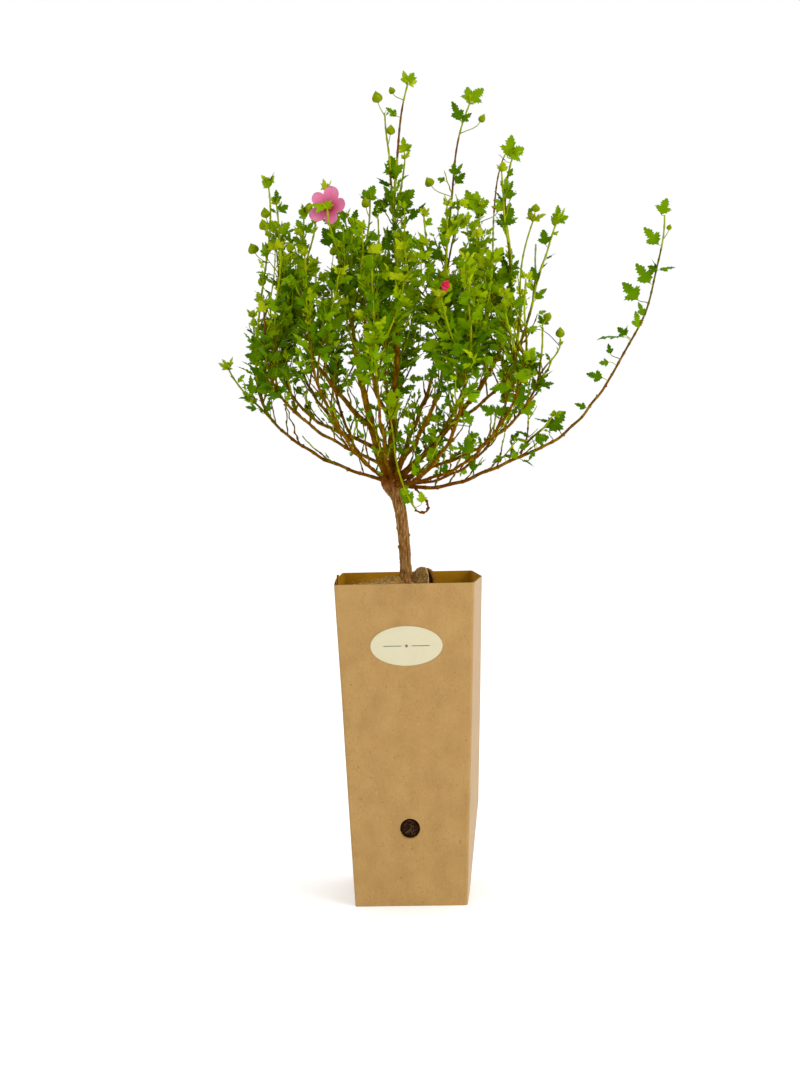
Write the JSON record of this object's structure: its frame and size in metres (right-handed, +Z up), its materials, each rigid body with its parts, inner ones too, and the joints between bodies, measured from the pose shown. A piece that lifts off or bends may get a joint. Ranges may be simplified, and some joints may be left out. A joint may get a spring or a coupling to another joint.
{
  "type": "potted cape mallow",
  "caption": "Young standard cape mallow shrub with a clean stem, an open airy crown with one long side bough, a flower and buds, in a tall square kraft board carton.",
  "frame": {"origin": "centre of the carton's flat underside, at the floor", "axes": "+Z up, -Y towards the label on the front panel, +X to the right seen from the front, the side of the long bough"},
  "size_m": [0.3812, 0.2589, 0.6744],
  "materials": {
    "kraft_board": "uncoated brown corrugated board",
    "paper_label": "matt cream paper, bare",
    "potting_soil": "damp dark peat with fine roots",
    "coir_mat": "loose tan fibre mat",
    "bark": "fissured grey-brown to reddish brown bark",
    "leaf_green": "soft matt green leaves and green twigs"
  },
  "bodies": {
    "root": {"carton_sleeve": "kraft_board", "seam_flap": "kraft_board", "label": "paper_label", "root_ball": "potting_soil", "fibre_mat": "coir_mat", "mat_curl": "coir_mat", "trunk": "bark", "bough_left_main": "bark", "bough_left_upright": "bark", "bough_left_high": "bark", "bough_left_back": "bark", "bough_left_back_high": "bark", "bough_left_front": "bark", "bough_left_low": "bark", "bough_centre": "bark", "bough_centre_left": "bark", "bough_centre_back": "bark", "bough_right_upright": "bark", "bough_right_main": "bark", "bough_right_high": "bark", "bough_front_right": "bark", "bough_front": "bark", "bough_front_left": "bark", "bough_front_right_low": "bark", "bough_right_front": "bark", "bough_right_low": "bark", "bough_back_right": "bark", "bough_back": "bark", "bough_back_left": "bark", "bough_right_back": "bark", "bough_arm_lower": "bark", "bough_arm_upper": "bark", "bough_droop": "bark", "foliage_left_low": "leaf_green", "foliage_left_front": "leaf_green", "foliage_left_back": "leaf_green", "foliage_left_back_high": "leaf_green", "foliage_left_high": "leaf_green", "foliage_flower": "leaf_green", "foliage_centre_left": "leaf_green", "foliage_crown": "leaf_green", "foliage_centre_back": "leaf_green", "foliage_right_upright": "leaf_green", "foliage_right_main": "leaf_green", "foliage_right_high": "leaf_green", "foliage_front_right": "leaf_green", "foliage_front": "leaf_green", "foliage_front_left": "leaf_green", "foliage_front_right_low": "leaf_green", "foliage_right_front": "leaf_green", "foliage_right_low": "leaf_green", "foliage_back_right": "leaf_green", "foliage_back": "leaf_green", "foliage_back_left": "leaf_green", "foliage_right_back": "leaf_green", "foliage_arm_spur": "leaf_green", "foliage_arm": "leaf_green", "foliage_shoot": "leaf_green"}
  },
  "joints": []
}
